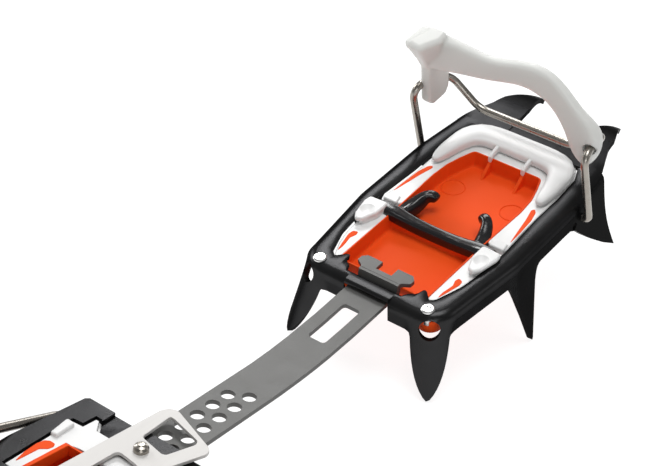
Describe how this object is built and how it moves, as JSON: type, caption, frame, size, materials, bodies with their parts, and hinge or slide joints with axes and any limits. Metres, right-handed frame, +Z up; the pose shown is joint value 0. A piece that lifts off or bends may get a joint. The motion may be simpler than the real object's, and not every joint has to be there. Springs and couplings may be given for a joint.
{
  "type": "semi-automatic crampon",
  "caption": "Crampon with a wire toe bail and strap, pointed toe and heel frames, perforated link bar, length clip and heel lever bail.",
  "frame": {"origin": "centre of the footprint box, on the ground under the points", "axes": "+Y to the toe along the longest extent, +Z up, +X to the right"},
  "size_m": [0.0928, 0.4099, 0.1174],
  "materials": {
    "black_steel": "satin black powder coat",
    "brace_black": "gloss black",
    "white_plastic": "smooth moulded",
    "orange_rubber": "matt moulded membrane",
    "zinc": "bright zinc",
    "wire_steel": "polished stainless",
    "strap_plastic": "milky flexible plastic",
    "bar_steel": "matt grey spring steel",
    "clip_steel": "satin bright",
    "lever_plastic": "fine grained black"
  },
  "bodies": {
    "toe_section": {"toe_frame": "black_steel", "cross_brace": "brace_black", "toe_plate": "white_plastic", "arch_plate": "white_plastic", "toe_membrane": "orange_rubber", "corner_screws": "zinc", "corner_nuts": "zinc"},
    "toe_bail": {"toe_wire": "wire_steel", "toe_strap": "strap_plastic"},
    "link_bar": {"link_bar": "bar_steel"},
    "heel_section": {"heel_frame": "black_steel", "heel_plate": "white_plastic", "heel_membrane": "orange_rubber", "heel_screws": "zinc", "heel_nuts": "zinc", "clip_pin": "zinc"},
    "length_clip": {"clip_plate": "clip_steel", "clip_stud": "zinc"},
    "heel_bail": {"heel_wire": "wire_steel"},
    "bail_carrier": {"bail_carrier": "zinc"},
    "heel_lever": {"lever_body": "lever_plastic", "lever_cleat": "zinc", "lever_pins": "zinc"},
    "thumb_wheel": {"thumb_wheel": "orange_rubber", "adjuster_screw": "zinc"}
  },
  "joints": [
    {"name": "toe_bail_swing", "type": "hinge", "parent": "toe_section", "child": "toe_bail", "pos_m": [0, 0.13587, 0.04748], "axis": [1, 0, 0], "range_deg": [-10, 40]},
    {"name": "bar_rock", "type": "hinge", "parent": "toe_section", "child": "link_bar", "pos_m": [0, 0.0402, 0.03653], "axis": [1, 0, 0], "range_deg": [-2.5, 5]},
    {"name": "length_slide", "type": "slide", "parent": "link_bar", "child": "heel_section", "axis": [0, 1, 0], "range_m": [-0.0176, 0.0264]},
    {"name": "clip_lift", "type": "hinge", "parent": "heel_section", "child": "length_clip", "pos_m": [0, -0.14249, 0.0318], "axis": [1, 0, 0], "range_deg": [0, 15]},
    {"name": "heel_bail_swing", "type": "hinge", "parent": "heel_section", "child": "heel_bail", "pos_m": [0, -0.09699, 0.021], "axis": [1, 0, 0], "range_deg": [-75, 0]},
    {"name": "lever_swing", "type": "hinge", "parent": "heel_bail", "child": "bail_carrier", "pos_m": [0, -0.19391, 0.05438], "axis": [1, 0, 0], "range_deg": [-110, 25]},
    {"name": "lever_adjust", "type": "slide", "parent": "bail_carrier", "child": "heel_lever", "axis": [0, 0, 1], "range_m": [0, 0.008]},
    {"name": "wheel_turn", "type": "hinge", "parent": "heel_lever", "child": "thumb_wheel", "pos_m": [0, -0.19931, 0.05438], "axis": [0, 0, 1], "range_deg": [-10, 1000]}
  ],
  "couplings": [
    {"joint": "wheel_turn", "follows": "lever_adjust", "rad_per_m": 2094.4}
  ]
}
